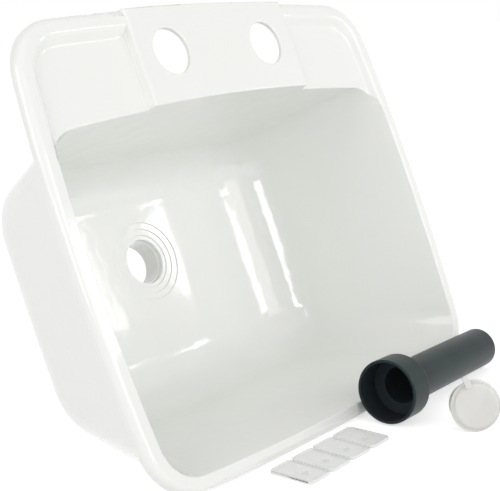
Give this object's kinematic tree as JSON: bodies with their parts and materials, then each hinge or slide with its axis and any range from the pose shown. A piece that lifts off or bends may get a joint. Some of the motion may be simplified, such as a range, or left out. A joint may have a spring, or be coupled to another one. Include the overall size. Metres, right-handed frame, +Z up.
{
  "type": "lavatory sink",
  "caption": "Drop-in moulded plastic lavatory sink leaning on its bowl, with a loose drain tailpiece, a stopper and a snap-apart strip of mounting clips.",
  "frame": {"origin": "the table top, under the middle of the box round the whole set", "axes": "+X along the sink's front edge, to the right of someone facing the open bowl; +Z up from the table; +Y away from that person. The sink stands on its front edge and leans back 20.7 degrees on the bottom of its bowl, so its own up, out of the bowl, is (0, -0.9355, 0.3533)"},
  "size_m": [0.377, 0.3138, 0.301],
  "materials": {
    "sink_plastic": "glossy white moulding",
    "black_plastic": "satin black",
    "stopper_plastic": "satin pale grey-white",
    "clip_plastic": "translucent natural plastic"
  },
  "bodies": {
    "sink_set": {"basin": "sink_plastic", "tailpiece": "black_plastic", "clip_1": "clip_plastic", "clip_2": "clip_plastic", "clip_3": "clip_plastic", "clip_4": "clip_plastic"},
    "stopper": {"stopper": "stopper_plastic"}
  },
  "joints": [
    {"name": "stopper_lift", "type": "slide", "parent": "sink_set", "child": "stopper", "axis": [0, 0, 1], "range_m": [0, 0.06]}
  ]
}
